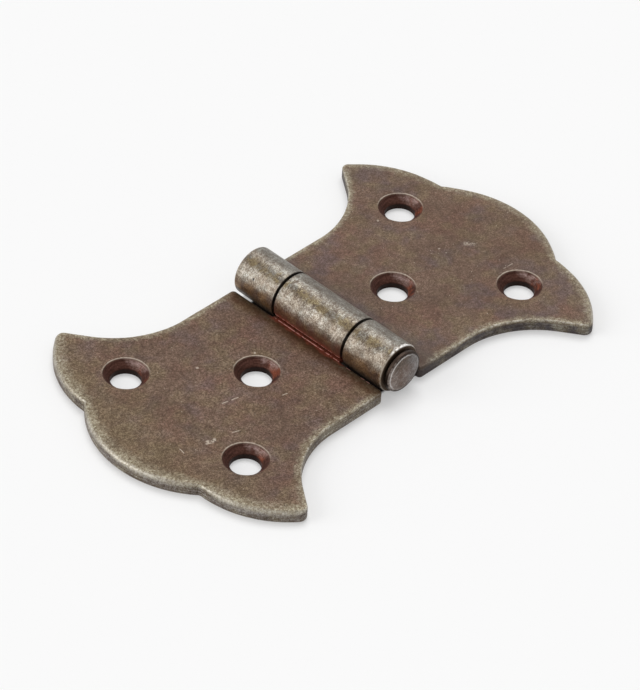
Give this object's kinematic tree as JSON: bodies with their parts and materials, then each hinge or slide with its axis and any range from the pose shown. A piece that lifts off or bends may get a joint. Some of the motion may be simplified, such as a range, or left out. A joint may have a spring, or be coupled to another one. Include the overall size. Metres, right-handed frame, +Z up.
{
  "type": "butterfly hinge",
  "caption": "Flat steel butterfly hinge with winged leaves, countersunk screw holes and a rolled barrel turning on a headed pin.",
  "frame": {"origin": "under the middle of the pin, in the plane of the leaves' undersides, with the hinge open flat", "axes": "+X from the left leaf to the right leaf, +Y along the pin away from its head, +Z up towards the countersinks"},
  "size_m": [0.0856, 0.052, 0.0079],
  "materials": {
    "left_leaf": "tumbled, brown aged patina with worn bright edges and a little rust",
    "right_leaf": "tumbled, brown aged patina with worn bright edges and a little rust",
    "hinge_pin": "tumbled, grey aged patina with a bright rim"
  },
  "bodies": {
    "left_leaf": {"left_leaf": "left_leaf"},
    "right_leaf": {"right_leaf": "right_leaf", "hinge_pin": "hinge_pin"}
  },
  "joints": [
    {"name": "leaf_swing", "type": "hinge", "parent": "left_leaf", "child": "right_leaf", "pos_m": [0, 0, 0.00395], "axis": [0, -1, 0], "range_deg": [-80, 180]}
  ]
}
